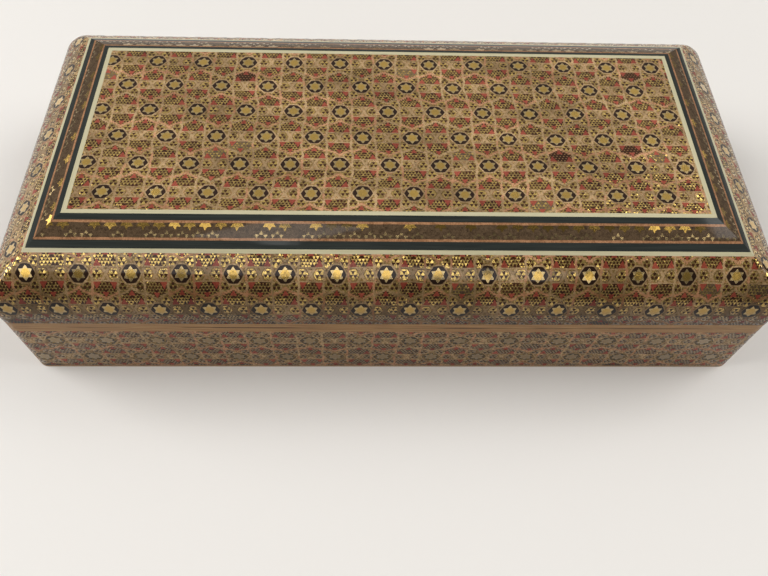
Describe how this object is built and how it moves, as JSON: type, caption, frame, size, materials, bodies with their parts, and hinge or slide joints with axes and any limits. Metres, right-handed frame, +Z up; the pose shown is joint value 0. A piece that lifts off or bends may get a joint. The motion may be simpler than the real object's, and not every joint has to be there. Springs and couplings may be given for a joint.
{
  "type": "khatam jewelry box",
  "caption": "Low rectangular jewelry box veneered in khatam mosaic, with a bevelled, round-shouldered lid on brass butt hinges and a velvet-lined inside.",
  "frame": {"origin": "middle of the underside, on the surface that the box stands on", "axes": "+X along the box to the right as seen from the front, +Y back to the hinges, +Z up"},
  "size_m": [0.2, 0.0958, 0.0471],
  "materials": {
    "khatam": "clear gloss lacquer over mosaic",
    "khatam_border": "clear gloss lacquer over dark mosaic band",
    "black_wood": "dyed black, gloss lacquer",
    "white_line": "ivory-coloured strip, gloss lacquer",
    "light_wood": "light wood under lacquer",
    "core_wood": "planed, thin varnish",
    "brass": "rolled sheet, lightly tarnished",
    "velvet": "short pile velvet"
  },
  "bodies": {
    "base": {"floor_board": "core_wood", "floor_pad": "velvet", "wall_lining": "velvet", "base_wall_front": "core_wood", "base_khatam_front": "khatam", "base_lip_front": "light_wood", "base_wall_right": "core_wood", "base_khatam_right": "khatam", "base_lip_right": "light_wood", "base_wall_back": "core_wood", "base_khatam_back": "khatam", "base_lip_back": "light_wood", "base_wall_left": "core_wood", "base_khatam_left": "khatam", "base_lip_left": "light_wood", "hinge_left_base_leaf": "brass", "hinge_left_pin": "brass", "hinge_right_base_leaf": "brass", "hinge_right_pin": "brass"},
    "lid": {"lid_board": "core_wood", "khatam_field": "khatam", "lid_lining": "velvet", "lid_rail_front": "core_wood", "lid_khatam_front": "khatam", "lid_lip_front": "light_wood", "inner_white_line_front": "white_line", "inner_black_strip_front": "black_wood", "khatam_border_front": "khatam_border", "outer_black_strip_front": "black_wood", "outer_white_line_front": "white_line", "lid_rail_right": "core_wood", "lid_khatam_right": "khatam", "lid_lip_right": "light_wood", "inner_white_line_right": "white_line", "inner_black_strip_right": "black_wood", "khatam_border_right": "khatam_border", "outer_black_strip_right": "black_wood", "outer_white_line_right": "white_line", "lid_rail_back": "core_wood", "lid_khatam_back": "khatam", "lid_lip_back": "light_wood", "inner_white_line_back": "white_line", "inner_black_strip_back": "black_wood", "khatam_border_back": "khatam_border", "outer_black_strip_back": "black_wood", "outer_white_line_back": "white_line", "lid_rail_left": "core_wood", "lid_khatam_left": "khatam", "lid_lip_left": "light_wood", "inner_white_line_left": "white_line", "inner_black_strip_left": "black_wood", "khatam_border_left": "khatam_border", "outer_black_strip_left": "black_wood", "outer_white_line_left": "white_line", "hinge_left_lid_leaf": "brass", "hinge_right_lid_leaf": "brass"}
  },
  "joints": [
    {"name": "lid_hinge", "type": "hinge", "parent": "base", "child": "lid", "pos_m": [0, 0.04575, 0.0241], "axis": [-1, 0, 0], "range_deg": [0, 100]}
  ]
}
